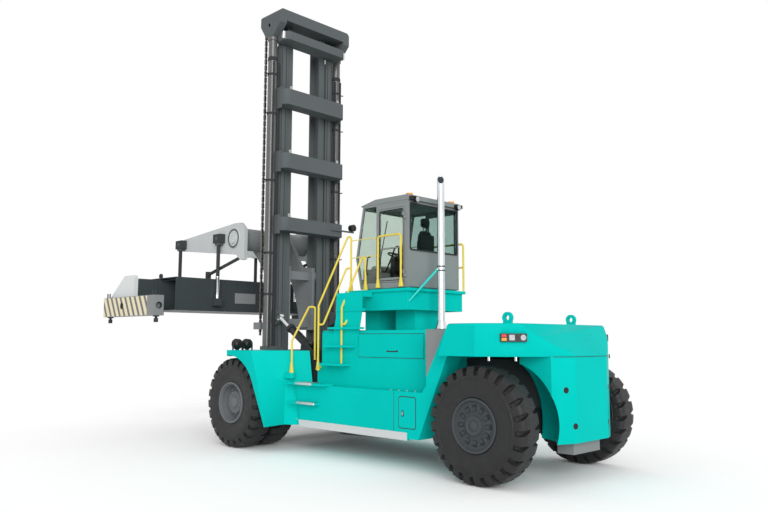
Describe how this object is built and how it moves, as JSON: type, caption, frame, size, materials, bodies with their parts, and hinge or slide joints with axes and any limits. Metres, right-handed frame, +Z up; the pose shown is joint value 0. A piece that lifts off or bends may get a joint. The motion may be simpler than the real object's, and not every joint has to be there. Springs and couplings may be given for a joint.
{
  "type": "laden container handler",
  "caption": "Mast truck that lifts loaded containers from above with a telescopic spreader, with twin front wheels, a raised cab and steered rear wheels.",
  "frame": {"origin": "on the ground under the middle of the overall box", "axes": "+X forward, +Y left, +Z up"},
  "size_m": [11.53, 6.11, 10.03],
  "materials": {
    "teal_paint": "gloss enamel",
    "mast_paint": "satin charcoal enamel",
    "light_paint": "satin light grey enamel",
    "cab_paint": "satin grey enamel",
    "yellow_paint": "gloss yellow enamel",
    "frame_paint": "satin dark enamel",
    "rim_paint": "satin dark grey enamel",
    "rubber": "matt black rubber",
    "rod_chrome": "hard chrome",
    "exhaust_metal": "bright metal",
    "glass": "tinted",
    "seat_fabric": "dark cloth",
    "dash_plastic": "dark grained",
    "lamp_plastic": "black housing",
    "amber_plastic": "clear amber",
    "engine_iron": "dark casting",
    "chain_steel": "dark oiled steel"
  },
  "bodies": {
    "chassis": {"frame": "teal_paint", "drive_axle": "frame_paint", "steer_axle": "frame_paint", "engine": "engine_iron", "mid_hood": "teal_paint", "rear_hood": "teal_paint", "counterweight": "teal_paint", "exhaust": "exhaust_metal", "platform": "teal_paint", "rails": "yellow_paint", "cab_shell": "cab_paint", "cab_roof": "cab_paint", "cab_glass": "glass", "seat": "seat_fabric", "console": "dash_plastic", "lamps": "lamp_plastic", "beacons": "amber_plastic", "fender_left": "teal_paint", "fender_right": "teal_paint", "side_box_left": "teal_paint", "side_box_right": "teal_paint", "stair_left": "teal_paint", "stair_right": "teal_paint"},
    "door": {"cab_door": "cab_paint", "door_glass": "glass"},
    "front_wheels_left": {"front_tyres_left": "rubber", "front_rims_left": "rim_paint"},
    "front_wheels_right": {"front_tyres_right": "rubber", "front_rims_right": "rim_paint"},
    "knuckle_left": {"knuckle_left": "frame_paint"},
    "knuckle_right": {"knuckle_right": "frame_paint"},
    "rear_wheel_left": {"rear_tyre_left": "rubber", "rear_rim_left": "rim_paint"},
    "rear_wheel_right": {"rear_tyre_right": "rubber", "rear_rim_right": "rim_paint"},
    "mast": {"outer_mast": "mast_paint", "mast_beams": "mast_paint", "mast_lamp": "lamp_plastic", "lift_cylinders": "mast_paint"},
    "inner_mast": {"inner_mast": "mast_paint", "lift_rods": "rod_chrome", "lift_chains": "chain_steel"},
    "carriage": {"carriage": "mast_paint", "spreader_arms": "light_paint", "hangers": "mast_paint", "spreader": "mast_paint"},
    "telescope_left": {"telescope_left": "mast_paint"},
    "telescope_right": {"telescope_right": "mast_paint"},
    "tilt_barrel_left": {"tilt_barrel_left": "mast_paint"},
    "tilt_barrel_right": {"tilt_barrel_right": "mast_paint"},
    "tilt_rod_left": {"tilt_rod_left": "rod_chrome"},
    "tilt_rod_right": {"tilt_rod_right": "rod_chrome"}
  },
  "joints": [
    {"name": "front_wheels_left_spin", "type": "hinge", "parent": "chassis", "child": "front_wheels_left", "pos_m": [1.515, 1.9, 0.938], "axis": [0, 1, 0], "continuous": true},
    {"name": "steer_left", "type": "hinge", "parent": "chassis", "child": "knuckle_left", "pos_m": [-4.685, 1.315, 0.938], "axis": [0, 0, 1], "range_deg": [-45, 45]},
    {"name": "rear_wheel_left_spin", "type": "hinge", "parent": "knuckle_left", "child": "rear_wheel_left", "pos_m": [-4.685, 1.545, 0.938], "axis": [0, 1, 0], "continuous": true},
    {"name": "front_wheels_right_spin", "type": "hinge", "parent": "chassis", "child": "front_wheels_right", "pos_m": [1.515, -1.9, 0.938], "axis": [0, 1, 0], "continuous": true},
    {"name": "steer_right", "type": "hinge", "parent": "chassis", "child": "knuckle_right", "pos_m": [-4.685, -1.315, 0.938], "axis": [0, 0, 1], "range_deg": [-45, 45]},
    {"name": "rear_wheel_right_spin", "type": "hinge", "parent": "knuckle_right", "child": "rear_wheel_right", "pos_m": [-4.685, -1.545, 0.938], "axis": [0, 1, 0], "continuous": true},
    {"name": "mast_tilt", "type": "hinge", "parent": "chassis", "child": "mast", "pos_m": [1.875, 0, 0.938], "axis": [0, -1, 0], "range_deg": [-5, 10]},
    {"name": "mast_lift", "type": "slide", "parent": "mast", "child": "inner_mast", "axis": [0, 0, 1], "range_m": [0, 5.2]},
    {"name": "carriage_lift", "type": "slide", "parent": "inner_mast", "child": "carriage", "axis": [0, 0, 1], "range_m": [0, 5.2]},
    {"name": "telescope_left_slide", "type": "slide", "parent": "carriage", "child": "telescope_left", "axis": [0, 1, 0], "range_m": [0, 3.07]},
    {"name": "tilt_barrel_left_swing", "type": "hinge", "parent": "chassis", "child": "tilt_barrel_left", "pos_m": [0.485, 0.9, 2.14], "axis": [0, -1, 0], "range_deg": [-2.84, 5.68]},
    {"name": "tilt_rod_left_stroke", "type": "slide", "parent": "tilt_barrel_left", "child": "tilt_rod_left", "axis": [-0.8423, 0, -0.5391], "range_m": [-0.15497, 0.30995]},
    {"name": "telescope_right_slide", "type": "slide", "parent": "carriage", "child": "telescope_right", "axis": [0, -1, 0], "range_m": [0, 3.07]},
    {"name": "tilt_barrel_right_swing", "type": "hinge", "parent": "chassis", "child": "tilt_barrel_right", "pos_m": [0.485, -0.9, 2.14], "axis": [0, -1, 0], "range_deg": [-2.84, 5.68]},
    {"name": "tilt_rod_right_stroke", "type": "slide", "parent": "tilt_barrel_right", "child": "tilt_rod_right", "axis": [-0.8423, 0, -0.5391], "range_m": [-0.15497, 0.30995]},
    {"name": "cab_door_swing", "type": "hinge", "parent": "chassis", "child": "door", "pos_m": [-2.255, 0.786, 4], "axis": [0, 0, 1], "range_deg": [0, 85]}
  ],
  "couplings": [
    {"joint": "steer_right", "follows": "steer_left", "ratio": 1},
    {"joint": "carriage_lift", "follows": "mast_lift", "ratio": 1},
    {"joint": "telescope_right_slide", "follows": "telescope_left_slide", "ratio": 1},
    {"joint": "tilt_barrel_left_swing", "follows": "mast_tilt", "ratio": 0.56716},
    {"joint": "tilt_rod_left_stroke", "follows": "mast_tilt", "m_per_rad": 1.7741},
    {"joint": "tilt_barrel_right_swing", "follows": "mast_tilt", "ratio": 0.56716},
    {"joint": "tilt_rod_right_stroke", "follows": "mast_tilt", "m_per_rad": 1.7741}
  ]
}
